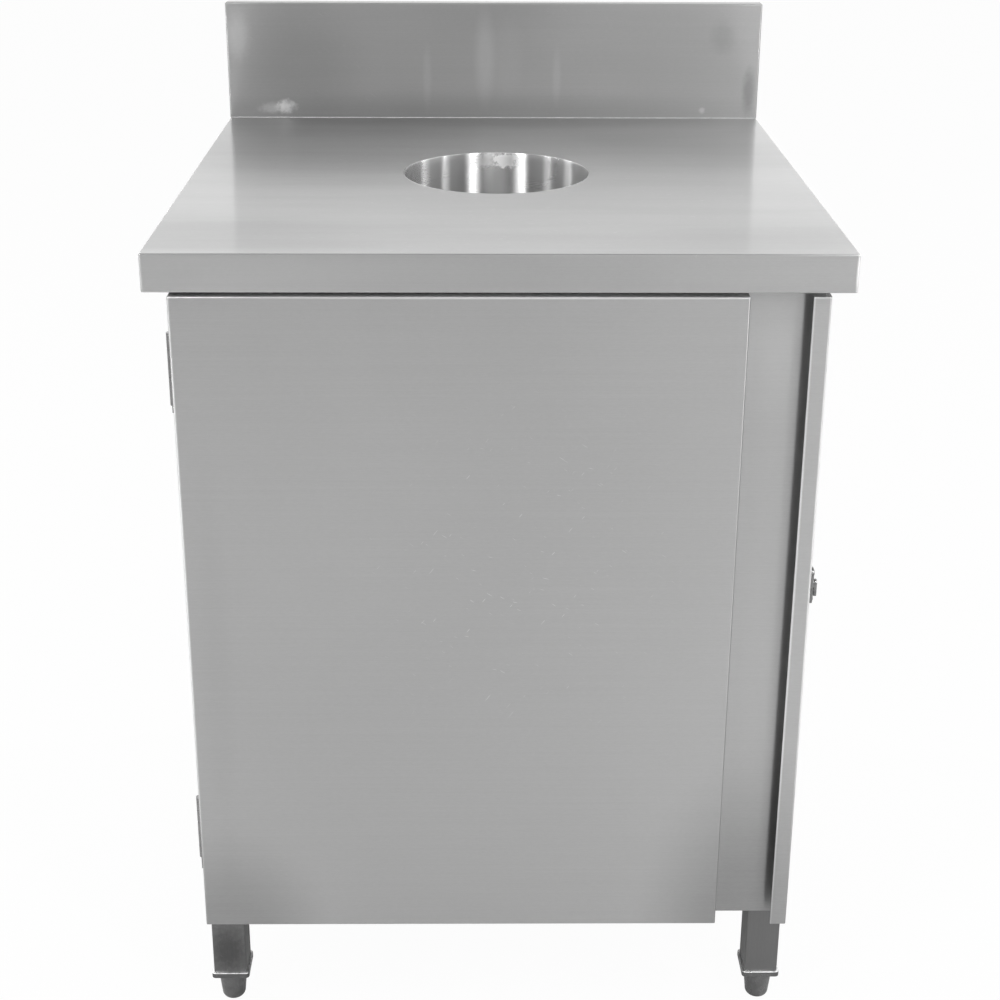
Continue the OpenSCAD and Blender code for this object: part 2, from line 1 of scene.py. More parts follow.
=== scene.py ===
# Looks of a free-standing stainless steel waste cabinet: brushed sheet, weld, fittings, floor, light, camera.
# Metres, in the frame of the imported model: +X to the right, +Z up, and the door faces -Y.
import json
import math
from collections import namedtuple

import bmesh
import bpy
from mathutils import Matrix, Vector, noise


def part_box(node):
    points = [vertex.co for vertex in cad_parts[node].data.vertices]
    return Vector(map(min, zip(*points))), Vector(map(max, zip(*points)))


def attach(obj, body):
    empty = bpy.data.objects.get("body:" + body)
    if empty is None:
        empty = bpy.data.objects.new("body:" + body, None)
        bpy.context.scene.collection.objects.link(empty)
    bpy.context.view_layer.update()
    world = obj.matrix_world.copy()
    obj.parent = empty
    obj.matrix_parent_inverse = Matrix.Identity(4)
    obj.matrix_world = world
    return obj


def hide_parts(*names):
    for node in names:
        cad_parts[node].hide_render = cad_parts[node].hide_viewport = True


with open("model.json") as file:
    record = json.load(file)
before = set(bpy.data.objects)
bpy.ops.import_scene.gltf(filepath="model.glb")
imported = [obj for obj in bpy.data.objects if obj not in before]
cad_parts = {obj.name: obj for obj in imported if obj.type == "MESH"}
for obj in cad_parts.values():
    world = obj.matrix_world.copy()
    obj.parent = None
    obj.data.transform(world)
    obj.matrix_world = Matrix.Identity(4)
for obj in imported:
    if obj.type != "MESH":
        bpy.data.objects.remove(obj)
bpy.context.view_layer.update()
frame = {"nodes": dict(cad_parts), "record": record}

MM = 0.001

# Places of the CAD nodes that the looks are set out from: the low and high corners of their boxes.
TOP_LO, TOP_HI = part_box("worktop")
UPSTAND_LO, UPSTAND_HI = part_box("upstand")
CHUTE_LO, CHUTE_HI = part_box("chute_collar")
PAN_LO, PAN_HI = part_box("door_front_pan")
GRIP_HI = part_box("door_grip_channel")[1]
LEG_LO, LEG_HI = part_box("leg_front_left")
INSERT_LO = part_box("leg_insert_front_left")[0]

CORNERS = ("front_left", "front_right", "rear_left", "rear_right")
HINGES = ("upper_hinge", "lower_hinge")


# Scene helpers

def add_object(name, mesh, material, body):
    """A new piece that rides on a body, with the material given."""
    piece = bpy.data.objects.new(name, mesh)
    bpy.context.scene.collection.objects.link(piece)
    mesh.materials.clear()
    mesh.materials.append(material)
    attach(piece, body)
    return piece


def body_of(node):
    """The name of the body that a CAD node belongs to."""
    for body, members in frame["record"]["behaviour"]["bodies"].items():
        if node in members:
            return body
    raise ValueError(node)


# Material helpers

# Noise lies around this value, and mostly within USUAL of it. The finest patterns are mapped from WIDE.
NOISE_MIDDLE, USUAL, WIDE = 0.5, 0.2, 0.25


class Nodes:
    """Short calls that add nodes to one material or world."""

    def __init__(self, owner):
        owner.use_nodes = True
        self.tree = owner.node_tree
        self.tree.nodes.clear()

    def add(self, kind, inputs=None, **settings):
        node = self.tree.nodes.new(kind)
        for key, value in settings.items():
            setattr(node, key, value)
        for key, value in (inputs or {}).items():
            if isinstance(value, bpy.types.NodeSocket):
                self.tree.links.new(value, node.inputs[key])
            else:
                node.inputs[key].default_value = value
        return node

    def math(self, operation, a, b=0.0, clamp=False):
        return self.add("ShaderNodeMath", {0: a, 1: b}, operation=operation, use_clamp=clamp).outputs[0]

    def ramp(self, value, low, high, to_low=0.0, to_high=1.0):
        """A value mapped smoothly from low..high to to_low..to_high, and held past the ends."""
        names = {"Value": value, "From Min": low, "From Max": high, "To Min": to_low, "To Max": to_high}
        return self.add("ShaderNodeMapRange", names, interpolation_type="SMOOTHSTEP").outputs[0]

    def noise(self, vector, scale, detail=2.0, roughness=0.5):
        inputs = {"Vector": vector, "Scale": scale, "Detail": detail, "Roughness": roughness}
        return self.add("ShaderNodeTexNoise", inputs).outputs[0]

    def spread(self, pattern, low, high, reach=USUAL):
        """A noise pattern mapped to low..high."""
        return self.ramp(pattern, NOISE_MIDDLE - reach, NOISE_MIDDLE + reach, low, high)

    def varied(self, value, pattern, down, up=None, reach=USUAL):
        """A value that a noise pattern takes down and up by these shares. Without up, both are the same."""
        up = down if up is None else up
        return self.math("MULTIPLY", value, self.spread(pattern, 1 - down, 1 + up, reach))

    def stretched(self, vector, scale):
        return self.add("ShaderNodeVectorMath", {0: vector, 1: scale}, operation="MULTIPLY").outputs[0]

    def shifted(self, vector, by):
        return self.add("ShaderNodeVectorMath", {0: vector, 1: by}, operation="ADD").outputs[0]

    def turned(self, vector, axis, degrees):
        inputs = {"Vector": vector, "Angle": math.radians(degrees)}
        return self.add("ShaderNodeVectorRotate", inputs, rotation_type=axis + "_AXIS").outputs[0]

    def grey(self, value):
        return self.add("ShaderNodeCombineColor", {0: value, 1: value, 2: value}).outputs[0]

    def mixed(self, share, first, second):
        """A share of the second shader over the first."""
        return self.add("ShaderNodeMixShader", {0: share, 1: first.outputs[0], 2: second.outputs[0]})

    def here(self):
        """The place on the surface, in the object's own coordinates."""
        return self.add("ShaderNodeTexCoord").outputs["Object"]


# Each pattern is read at a place of its own, so that no two of them rise and fall together.
LINES_AT, CLOUDS_AT, WEAR_AT = (0.7, 0.3, 0.9), (7.3, 2.9, 4.1), (3.1, 1.7, 5.3)
WIPING_AT, SWELL_AT, DULL_AT = (2.2, 6.1, 0.4), (1.3, 8.2, 2.6), (4.4, 0.7, 9.1)

# A spot of another tone, most often painted light and shade: its centre, its half sizes, how much lighter it
# is, and how ragged its edge is.
Mark = namedtuple("Mark", "centre half lighter ragged", defaults=[0.0])
# A spot that scatters the light all round: its centre, its half sizes, the share scattered, and how ragged.
Scuff = namedtuple("Scuff", "centre half share ragged")

# A spot is full up to the first share of its half sizes, and gone at the second.
SPOT_FULL, SPOT_GONE = 0.2, 1.0
# Scale of the noise that makes an edge ragged, per metre, and how far it moves the edge.
RAGGED_SCALE, RAGGED_REACH = 160.0, 4


def spot(n, at, centre, half, ragged=0.0):
    """A mask of one soft spot at a place. Its edge is ragged by that share of its size."""
    offset = n.shifted(at, tuple(-c for c in centre))
    scaled = n.stretched(offset, tuple(1 / h for h in half))
    far = n.add("ShaderNodeVectorMath", {0: scaled}, operation="LENGTH").outputs["Value"]
    if ragged:
        wobble = n.math("SUBTRACT", n.noise(at, RAGGED_SCALE, 4.0, 0.6), NOISE_MIDDLE)
        far = n.math("ADD", far, n.math("MULTIPLY", wobble, ragged * RAGGED_REACH))
    return n.ramp(far, SPOT_FULL, SPOT_GONE, 1.0, 0.0)


# Brushed sheet

# A highlight on brushed metal is drawn out square to the brushing: a quarter turn from the tangent.
ACROSS_THE_BRUSHING = 0.25
# Share and roughness of the light that brushed metal scatters all round.
VEIL, VEIL_ROUGHNESS = 0.18, 0.65
# Roughness of the clearer reflections, where a sheet has any.
CRISP_ROUGHNESS = 0.18

# Scales of the patterns along the brushing and across it, per metre. Lines are nine times as wide as hair.
HAIR = (5.0, 2400.0)
LINES = (HAIR[0] / 9, HAIR[1] / 9)
# The grain of a rolled tube is finer.
GRAIN, ROLLED_GRAIN = (160.0, 900.0), (900.0, 2400.0)
WIPING = (2.5, 18.0)
# Scales of the patterns that don't follow the brushing: clouds of tone, places with wear, and swells.
CLOUDS, WEAR, SWELLS = 5.0, 7.0, 4.0
# How far the patterns take the tone up and down, as shares of it.
HAIR_SWING, LINES_SWING, CLOUDS_SWING = 0.025, 0.006, 0.015
# How far the clouds and the hair take the roughness up and down.
CLOUDS_ROUGHNESS, HAIR_ROUGHNESS = 0.015, 0.04
# Heights of the bumps that swells and hair make, and how much of the hair's slope shows.
SWELL_HEIGHT, HAIR_HEIGHT, HAIR_SLOPE = 1.2 * MM, 0.03 * MM, 0.12

# Three sets of scratches: the angle in degrees, and the noise value that a scratch begins at.
SCRATCH_SETS = ((-34, 0.80), (-14, 0.83), (52, 0.85))
# Scales of the scratches along their length and across it, per metre.
SCRATCH_ALONG, SCRATCH_ACROSS = 80.0, 900.0
# How much lighter a scratch is, and how softly it begins.
SCRATCH_LIGHTER, SCRATCH_SOFT = 0.13, 0.04
# Noise values at which the places with scratches begin and are full of them.
WEAR_FROM, WEAR_FULL = 0.52, 0.66


def drawn_out(axis, slow, fast):
    """Scales of a pattern that is slow along the brushing and fast across it.

    Brushing that runs round an upright tube has Z across it.
    """
    if axis == "round":
        return tuple(fast if letter == "Z" else slow for letter in "XYZ")
    return tuple(slow if letter == axis else fast for letter in "XYZ")


def brush_tangent(n, axis):
    """The direction of the brushing on a surface: along one axis of the object, or round the upright axis."""
    if axis == "round":
        return n.add("ShaderNodeTangent", direction_type="RADIAL", axis="Z").outputs[0]
    direction = tuple(float(letter == axis) for letter in "XYZ")
    turn = n.add("ShaderNodeVectorTransform", {0: direction}, vector_type="VECTOR",
                 convert_from="OBJECT", convert_to="WORLD")
    return turn.outputs[0]


def scratches(n, at, face, crowded):
    """A mask of short thin lines in a sheet.

    face is the axis square to the sheet, and crowded is a mask of where they lie.
    """
    length_axis = "X" if face != "X" else "Y"
    scales = {face: 1.0, length_axis: SCRATCH_ALONG}
    scale = tuple(scales.get(letter, SCRATCH_ACROSS) for letter in "XYZ")
    mask = None
    for degrees, rare in SCRATCH_SETS:
        # Each set is read at a place of its own.
        apart = (degrees * 0.37, degrees * 0.11, degrees * 0.23)
        moved = n.shifted(n.turned(at, face, degrees), apart)
        line = n.ramp(n.noise(n.stretched(moved, scale), 1.0, 0.0), rare, rare + SCRATCH_SOFT)
        mask = line if mask is None else n.math("MAXIMUM", mask, line)
    return n.math("MULTIPLY", mask, crowded)


def brushed_steel(name, tone, axis, face="Y", rough=0.31, wave=1.0, wear=1.0, fine=1.0, crisp=0.0, smear=0.0,
                  worn=None, marks=(), scuffs=()):
    """Brushed stainless sheet: fine lines along one axis, cloudy tone, slight waves, scratches, and marks
    that are mostly painted light and shade.

    axis is the way of the brushing, and face is the axis square to the sheet.
    wave, wear and fine are how strong the waves, the scratches and the fine lines are.
    crisp is the share of clearer reflections, and smear is how far wiped streaks take the tone up and down.
    worn is where the scratches are: (centre, half sizes). Without it they are here and there.
    """
    material = bpy.data.materials.new(name)
    n = Nodes(material)
    at = n.here()
    hair = n.noise(n.stretched(at, drawn_out(axis, *HAIR)), 1.0, 3.0, 0.6)
    lines = n.noise(n.stretched(n.shifted(at, LINES_AT), drawn_out(axis, *LINES)), 1.0, 2.0, 0.5)
    clouds = n.noise(n.shifted(at, CLOUDS_AT), CLOUDS, 3.0, 0.5)
    grain_scales = ROLLED_GRAIN if axis == "round" else GRAIN
    grain = n.noise(n.stretched(at, drawn_out(axis, *grain_scales)), 1.0, 4.0, 0.7)

    if worn:
        crowded = spot(n, at, *worn)
    else:
        crowded = n.ramp(n.noise(n.shifted(at, WEAR_AT), WEAR, 2.0, 0.6), WEAR_FROM, WEAR_FULL)
    lighter = n.math("MULTIPLY", scratches(n, at, face, crowded), SCRATCH_LIGHTER * wear)
    # The marks lighten or darken the tone; most of them are painted light and shade.
    for mark in marks:
        mask = spot(n, at, mark.centre, mark.half, mark.ragged)
        lighter = n.math("ADD", lighter, n.math("MULTIPLY", mask, mark.lighter))

    tone_now = n.varied(tone, hair, HAIR_SWING * fine, reach=WIDE)
    tone_now = n.varied(tone_now, grain, HAIR_SWING * fine, reach=WIDE)
    tone_now = n.varied(tone_now, lines, LINES_SWING * fine, reach=WIDE)
    tone_now = n.varied(tone_now, clouds, CLOUDS_SWING)
    if smear:
        wiped = n.noise(n.stretched(n.shifted(at, WIPING_AT), drawn_out(axis, *WIPING)), 1.0, 3.0, 0.6)
        tone_now = n.varied(tone_now, wiped, smear)
    colour = n.grey(n.math("ADD", tone_now, lighter, clamp=True))

    rough_now = n.spread(clouds, rough - CLOUDS_ROUGHNESS, rough + CLOUDS_ROUGHNESS)
    hair_rough = n.math("MULTIPLY", n.math("SUBTRACT", hair, NOISE_MIDDLE), HAIR_ROUGHNESS * fine)
    rough_now = n.math("ADD", rough_now, hair_rough)

    swell = n.noise(n.shifted(at, SWELL_AT), SWELLS, 1.0, 0.4)
    hill = n.add("ShaderNodeBump", {"Height": swell, "Strength": 1.0, "Distance": SWELL_HEIGHT * wave})
    bump = n.add("ShaderNodeBump", {"Height": n.math("ADD", hair, grain), "Strength": HAIR_SLOPE * fine,
                                    "Distance": HAIR_HEIGHT, "Normal": hill.outputs[0]}).outputs[0]

    metal = {"Base Color": colour, "Metallic": 1.0, "Normal": bump}
    brushing = {**metal, "Anisotropic": 1.0, "Anisotropic Rotation": ACROSS_THE_BRUSHING,
                "Tangent": brush_tangent(n, axis)}
    brushed = n.add("ShaderNodeBsdfPrincipled", {**brushing, "Roughness": rough_now})
    if crisp:
        clear = n.add("ShaderNodeBsdfPrincipled", {**brushing, "Roughness": CRISP_ROUGHNESS})
        brushed = n.mixed(crisp, brushed, clear)
    veil = n.add("ShaderNodeBsdfPrincipled", {**metal, "Roughness": VEIL_ROUGHNESS})
    share = VEIL
    for scuff in scuffs:
        mask = spot(n, at, scuff.centre, scuff.half, scuff.ragged)
        share = n.math("ADD", n.math("MULTIPLY", mask, scuff.share), share, clamp=True)
    n.add("ShaderNodeOutputMaterial", {"Surface": n.mixed(share, brushed, veil).outputs[0]})
    return material


# Fittings

# Plated metal: scales of its speckle and its dull places per metre, and the swing of the tone with each.
SPECKLE, SPECKLE_SWING = 900.0, (0.06, 0.05)
DULLNESS, DULLNESS_SWING = 60.0, (0.18, 0.12)
# How much rougher the dull places are, and how much clearer the bright ones.
DULL_ROUGHER, BRIGHT_CLEARER = 0.1, 0.06
# A painted highlight along a top edge: the height over which it comes in, the noise values of its gaps, and
# how much lighter it is.
PAINTED_HIGHLIGHT_RISE, PAINTED_HIGHLIGHT_GAPS, PAINTED_HIGHLIGHT_LIGHTER = 0.4 * MM, (0.25, 0.45), 0.7
# Rubber and nylon: scales of the grain and the dust per metre, and how far the grain takes the roughness.
SOLID_GRAIN, SOLID_DUST, SOLID_ROUGHNESS = 1400.0, 90.0, 0.06
# The noise values that dust comes in between, and how much lighter it is.
DUST_FROM, DUST_FULL, DUST_LIGHTER = 0.45, 0.8, 0.03
# Heights of the bumps of speckle and of grain, and how much of the speckle's slope shows.
SPECKLE_HEIGHT, GRAIN_HEIGHT, SPECKLE_SLOPE = 0.2 * MM, 0.3 * MM, 0.12


def plated(name, tone, rough, painted_highlight_above=None):
    """Plated or satin hardware, with fine speckle and dull places.

    The height given last is where a painted highlight along the top edge begins.
    """
    material = bpy.data.materials.new(name)
    n = Nodes(material)
    at = n.here()
    speckle = n.noise(at, SPECKLE, 3.0, 0.7)
    dull = n.noise(n.shifted(at, DULL_AT), DULLNESS, 4.0, 0.6)
    tone_now = n.varied(tone, dull, *DULLNESS_SWING)
    tone_now = n.varied(tone_now, speckle, *SPECKLE_SWING)
    # A painted highlight along the top edge, broken into gaps by the dull pattern.
    if painted_highlight_above:
        height = n.add("ShaderNodeSeparateXYZ", {0: at}).outputs["Z"]
        edge = n.ramp(height, painted_highlight_above, painted_highlight_above + PAINTED_HIGHLIGHT_RISE)
        worn = n.math("MULTIPLY", edge, n.ramp(dull, *PAINTED_HIGHLIGHT_GAPS))
        tone_now = n.math("ADD", tone_now, n.math("MULTIPLY", worn, PAINTED_HIGHLIGHT_LIGHTER), clamp=True)
    rough_now = n.spread(dull, rough + DULL_ROUGHER, rough - BRIGHT_CLEARER)
    bump = n.add("ShaderNodeBump", {"Height": speckle, "Strength": SPECKLE_SLOPE, "Distance": SPECKLE_HEIGHT})
    shader = n.add("ShaderNodeBsdfPrincipled", {
        "Base Color": n.grey(tone_now), "Metallic": 1.0, "Roughness": rough_now, "Normal": bump.outputs[0]})
    n.add("ShaderNodeOutputMaterial", {"Surface": shader.outputs[0]})
    return material


def dull_solid(name, tone, rough, pitted):
    """Rubber or nylon: dark, with a fine grain and dusty places. pitted is how strong the grain is."""
    material = bpy.data.materials.new(name)
    n = Nodes(material)
    at = n.here()
    grain = n.noise(at, SOLID_GRAIN, 3.0, 0.6)
    dust = n.ramp(n.noise(at, SOLID_DUST, 4.0, 0.6), DUST_FROM, DUST_FULL)
    tone_now = n.math("ADD", tone, n.math("MULTIPLY", dust, DUST_LIGHTER))
    rough_now = n.spread(grain, rough - SOLID_ROUGHNESS, rough + SOLID_ROUGHNESS)
    bump = n.add("ShaderNodeBump", {"Height": grain, "Strength": pitted, "Distance": GRAIN_HEIGHT})
    shader = n.add("ShaderNodeBsdfPrincipled", {
        "Base Color": n.grey(tone_now), "Roughness": rough_now, "Normal": bump.outputs[0]})
    n.add("ShaderNodeOutputMaterial", {"Surface": shader.outputs[0]})
    return material


# The worktop and its upstand

STEEL = 0.49
# Half size of a mark that runs through the whole depth or height.
THROUGH = 1.0

TOP = TOP_HI.z
# A little over the worktop, so that a mark with a small half height stays on the top face.
OVER_TOP, TOP_SKIN = TOP + 2 * MM, 4 * MM
# The face and the middle height of the worktop's front edge.
EDGE_Y, EDGE_Z = TOP_LO.y, TOP - 20 * MM
# Painted light and shade on the worktop: painted shade over its left half, its back, its right middle and the
# front of its top face, a lighter painted patch at its right back, a lighter painted front edge, and painted
# highlights on the bends at the ends of the front edge.
TOP_PAINTED_LIGHT = [
    Mark((-0.20, 0.17, TOP), (0.30, 0.34, THROUGH), -0.11),
    Mark((0.0, 0.33, TOP), (0.50, 0.12, THROUGH), -0.06),
    Mark((0.24, 0.29, TOP), (0.22, 0.14, THROUGH), 0.04),
    Mark((0.20, 0.10, TOP), (0.25, 0.20, THROUGH), -0.03),
    Mark((0.0, -0.36, OVER_TOP), (1.2, 0.34, TOP_SKIN), -0.055),
    Mark((-0.28, -0.32, OVER_TOP), (0.24, 0.26, TOP_SKIN), -0.06),
    Mark((0.28, -0.32, OVER_TOP), (0.24, 0.26, TOP_SKIN), -0.04),
    Mark((-0.32, EDGE_Y, EDGE_Z), (0.36, 0.03, 0.05), 0.07),
    Mark((0.35, EDGE_Y, EDGE_Z), (0.25, 0.03, 0.05), 0.02),
    Mark((TOP_HI.x - 0.8 * MM, EDGE_Y, EDGE_Z), (0.0030, 0.004, 0.035), 0.5),
    Mark((TOP_LO.x + 0.8 * MM, EDGE_Y, EDGE_Z), (0.0025, 0.004, 0.035), 0.2),
]
# The scratches stay on the top face, and off the front edge.
TOP_WORN = ((0, 0, TOP), (0.6, 0.6, 0.008))


# Half depth of a mark on the upstand's front, so that it doesn't show on the back.
UPSTAND_SKIN = 15 * MM


def upstand_mark(x, up, half_x, half_z, lighter, ragged=0.0):
    """A mark on the upstand's front, at a height over the worktop."""
    return Mark((x, UPSTAND_LO.y, TOP + up), (half_x, UPSTAND_SKIN, half_z), lighter, ragged)


# Tones on the upstand's front: a lighter ragged patch high at its left end, ragged painted glints just over
# the weld, pale upright bands of painted reflection, painted shade along its foot and over its left and right
# parts, and darker ragged places at its right end.
UPSTAND_TONES_AND_PAINTED_LIGHT = [
    upstand_mark(-0.336, 0.110, 0.022, 0.045, 0.11, 0.1),
    upstand_mark(-0.250, 0.073, 0.100, 0.110, -0.05),
    upstand_mark(-0.275, 0.015, 0.017, 0.012, 0.38, 0.25),
    upstand_mark(-0.292, 0.013, 0.028, 0.010, 0.18, 0.2),
    upstand_mark(0.0, 0.003, 0.55, 0.040, -0.09),
    upstand_mark(0.25, 0.073, 0.160, 0.110, -0.03),
    upstand_mark(-0.088, 0.055, 0.008, 0.055, 0.05),
    upstand_mark(-0.012, 0.080, 0.018, 0.080, 0.09),
    upstand_mark(0.017, 0.080, 0.030, 0.070, 0.03),
    upstand_mark(0.083, 0.055, 0.008, 0.050, 0.05),
    upstand_mark(0.300, 0.107, 0.022, 0.030, -0.05, 0.1),
    upstand_mark(0.338, 0.037, 0.012, 0.042, -0.13, 0.1),
    upstand_mark(0.277, 0.011, 0.006, 0.006, 0.15, 0.2),
]


# The door

FACE_Y = PAN_LO.y
STRIP_WIDTH = 18 * MM
STRIP_X = GRIP_HI.x - STRIP_WIDTH
# The painted bend highlights lie a little way in from the edge.
BEND_IN = 0.5 * MM
# Tones of the door: a faint darker upright streak, painted light over the upper left part, painted shade in
# the lower corners, painted highlights on the bends and the top edge, and painted light that lifts the shade
# in the recess and on the low part of the strip.
DOOR_STREAK_AND_PAINTED_LIGHT = [
    Mark((-0.298, FACE_Y, 0.45), (0.022, THROUGH, 0.34), -0.014, 0.1),
    Mark((-0.210, FACE_Y, 0.72), (0.280, THROUGH, 0.34), 0.03),
    Mark((-0.300, FACE_Y, 0.11), (0.130, THROUGH, 0.17), -0.13),
    Mark((0.290, FACE_Y, 0.10), (0.150, THROUGH, 0.28), -0.17),
    Mark((PAN_LO.x + BEND_IN, FACE_Y, 0.60), (0.0030, 0.006, 0.50), 0.40),
    Mark((STRIP_X + BEND_IN, FACE_Y, 0.55), (0.0025, 0.006, 0.60), 0.25),
    Mark((GRIP_HI.x - BEND_IN, FACE_Y, 0.60), (0.0025, 0.006, 0.50), 0.45),
    Mark((0, FACE_Y + 12 * MM, PAN_HI.z), (0.60, 0.06, 0.0035), 0.5),
    Mark((0.280, FACE_Y + 22 * MM, 0.85), (0.060, 0.012, 0.14), 0.05),
    Mark((0.320, FACE_Y + 16 * MM, 0.50), (0.012, 0.014, 0.60), 0.18),
    Mark((0.320, FACE_Y + 16 * MM, 0.86), (0.014, 0.014, 0.16), 0.20),
    Mark((0.318, FACE_Y, 0.17), (0.020, 0.010, 0.15), 0.045),
]
DOOR_WORN = ((0.02, FACE_Y, 0.57), (0.24, THROUGH, 0.26))


# The waste chute

CHUTE_MIDDLE = (CHUTE_LO + CHUTE_HI) / 2
CHUTE_OUTER = (CHUTE_HI.x - CHUTE_LO.x) / 2
CHUTE_WALL = 1.5 * MM
CHUTE_INNER = CHUTE_OUTER - CHUTE_WALL
# Painted reflection bands and scuffs in the back wall: how far below the rim their middles are, and their
# half depths.
PAINTED_BAND_DOWN, PAINTED_BAND_DEEP = 37 * MM, 60 * MM
SCUFF_DOWN, SCUFF_DEEP = 9 * MM, 20 * MM
# Painted reflection bands run from the rim to far down the wall. Scuffs have ragged edges.
PAINTED_BAND_HALF_HEIGHT, SCUFF_RAGGED = 90 * MM, 0.4


def chute_wall(x):
    """How far back the chute's back wall is at a place across it."""
    return CHUTE_MIDDLE.y + math.sqrt(CHUTE_INNER ** 2 - x ** 2)


def chute_painted_band(x, half_x, lighter):
    """A pale upright band of painted reflection in the chute's back wall."""
    return Mark((x, chute_wall(x), TOP - PAINTED_BAND_DOWN), (half_x, PAINTED_BAND_DEEP, PAINTED_BAND_HALF_HEIGHT), lighter)


def chute_scuff(x, half_x, half_z, share):
    """A ragged scuff below the rim of the chute's back wall."""
    return Scuff((x, chute_wall(x), TOP - SCUFF_DOWN), (half_x, SCUFF_DEEP, half_z), share, SCUFF_RAGGED)


# Painted reflections: pale upright bands down the chute's back wall.
CHUTE_PAINTED_REFLECTIONS = [
    chute_painted_band(0.0, 0.030, 0.32),
    chute_painted_band(-0.027, 0.013, 0.5),
    chute_painted_band(0.030, 0.013, 0.5),
    chute_painted_band(-0.060, 0.007, 0.3),
    chute_painted_band(0.062, 0.007, 0.3),
    chute_painted_band(-0.084, 0.007, 0.3),
    chute_painted_band(0.086, 0.007, 0.3),
    chute_painted_band(0.0, 0.020, 0.1),
]
CHUTE_SCUFFS = [chute_scuff(0.013, 0.018, 0.012, 1.6), chute_scuff(-0.014, 0.040, 0.013, 0.4)]

# Painted shade low down on the left front leg.
LEG_PAINTED_SHADE = Mark(((LEG_LO.x + LEG_HI.x) / 2, LEG_LO.y + 2 * MM, LEG_LO.z + 30 * MM), (0.03, 0.03, 0.045),
                  -0.09, 0.2)
# Height at which the painted highlight along a leg insert's top edge begins.
INSERT_PAINTED_HIGHLIGHT = INSERT_LO.z + 6 * MM


# Materials

SHEET_TOP = brushed_steel("worktop_brushed", STEEL, "X", face="Z", crisp=0.3, smear=0.035, worn=TOP_WORN,
                          marks=TOP_PAINTED_LIGHT)
SHEET_X = brushed_steel("sheet_brushed_across", STEEL, "X")
UPSTAND_X = brushed_steel("upstand_brushed_across", 0.485, "X", wear=0.3, smear=0.015, marks=UPSTAND_TONES_AND_PAINTED_LIGHT)
SHEET_Y = brushed_steel("sheet_brushed_deep", STEEL, "Y", face="X")
DOOR_X = brushed_steel("door_brushed_across", 0.50, "X", wear=1.8, worn=DOOR_WORN, marks=DOOR_STREAK_AND_PAINTED_LIGHT)
# The tubes' tone is far darker than the sheet's: painted shade for the legs, which stand in the shade under
# the cabinet.
TUBE_Z_PAINTED_SHADE = brushed_steel("tube_brushed_upright_painted_shade", 0.21, "Z", rough=0.36, wave=0.25, marks=[LEG_PAINTED_SHADE])
CHUTE = brushed_steel("chute_bright", 0.53, "round", rough=0.28, wave=0.4, wear=0.1, fine=0.25,
                      marks=CHUTE_PAINTED_REFLECTIONS, scuffs=CHUTE_SCUFFS)
FOOT = plated("foot_satin", 0.19, 0.30)
# The leg inserts get a painted highlight along their top edge.
INSERT = plated("insert_painted_highlight_edge", 0.17, 0.30, painted_highlight_above=INSERT_PAINTED_HIGHLIGHT)
HARDWARE = plated("hardware_plated", 0.30, 0.24)
LATCH = plated("latch_dull", 0.24, 0.26)
SCREW = plated("screw_plated", 0.30, 0.3)
WELD = plated("weld_bead", 0.50, 0.45)
NYLON = dull_solid("nylon_black", 0.03, 0.5, 0.1)
RUBBER = dull_solid("rubber_black", 0.02, 0.8, 0.3)


# Pieces

# The nodes that show: their material, and the width of the bevel on their edges in millimetres.
EASED = {
    "worktop": (SHEET_TOP, 0.25), "upstand": (UPSTAND_X, 0.25),
    "door_front_pan": (DOOR_X, 0.25), "door_inner_panel": (SHEET_X, 0.2), "door_grip_channel": (DOOR_X, 0.2),
    **{f"leg_{corner}": (TUBE_Z_PAINTED_SHADE, 0.2) for corner in CORNERS},
    **{f"leg_insert_{corner}": (INSERT, 1.0) for corner in CORNERS},
    "latch_plate": (LATCH, 0.3), "latch_lever": (LATCH, 0.5),
    **{f"{hinge}_{leaf}_leaf": (HARDWARE, 0.2) for hinge in HINGES for leaf in ("frame", "door")},
}
# The other nodes keep their own meshes.
PLAIN = {
    **{f"top_stiffener_{side}": SHEET_Y for side in ("left", "right")}, "shelf_stiffener": SHEET_Y,
    "door_stiffener": TUBE_Z_PAINTED_SHADE, "top_front_rail": SHEET_X, "top_rear_rail": SHEET_X,
    "bottom_shelf": SHEET_X, "side_panel_left": SHEET_Y, "side_panel_right": SHEET_Y, "back_panel": SHEET_X,
    "door_bumpers": RUBBER, "latch_bush": NYLON,
    **{f"foot_{corner}": FOOT for corner in CORNERS},
    **{f"{hinge}_pin": SCREW for hinge in HINGES}, "hinge_frame_screws": SCREW, "hinge_door_screws": SCREW,
    "latch_plate_screws": SCREW, "latch_nut": SCREW, "latch_hook": HARDWARE, "latch_strike_plate": HARDWARE,
}
# Points nearer than this are one point, and faces that meet at less than this angle are one flat face.
SAME_POINT, SAME_FACE = 0.001 * MM, math.radians(0.2)
# Edges sharper than this get the bevel.
SHARP = math.radians(35)


def eased(node, material, width):
    """A copy of a CAD node with its sharp edges eased by a small bevel. It stands for the node."""
    bm = bmesh.new()
    bm.from_mesh(frame["nodes"][node].data)
    bmesh.ops.remove_doubles(bm, verts=bm.verts, dist=SAME_POINT)
    bmesh.ops.dissolve_limit(bm, angle_limit=SAME_FACE, verts=bm.verts, edges=bm.edges)
    for face in bm.faces:
        face.smooth = True
    mesh = bpy.data.meshes.new(node + "_shell")
    bm.to_mesh(mesh)
    bm.free()
    piece = add_object(node + "_shell", mesh, material, body_of(node))
    bevel = piece.modifiers.new("eased_edges", "BEVEL")
    bevel.width = width
    bevel.segments = 2
    bevel.limit_method = "ANGLE"
    bevel.angle_limit = SHARP
    normals = piece.modifiers.new("flat_faces", "WEIGHTED_NORMAL")
    normals.weight = 100
    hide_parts(node)


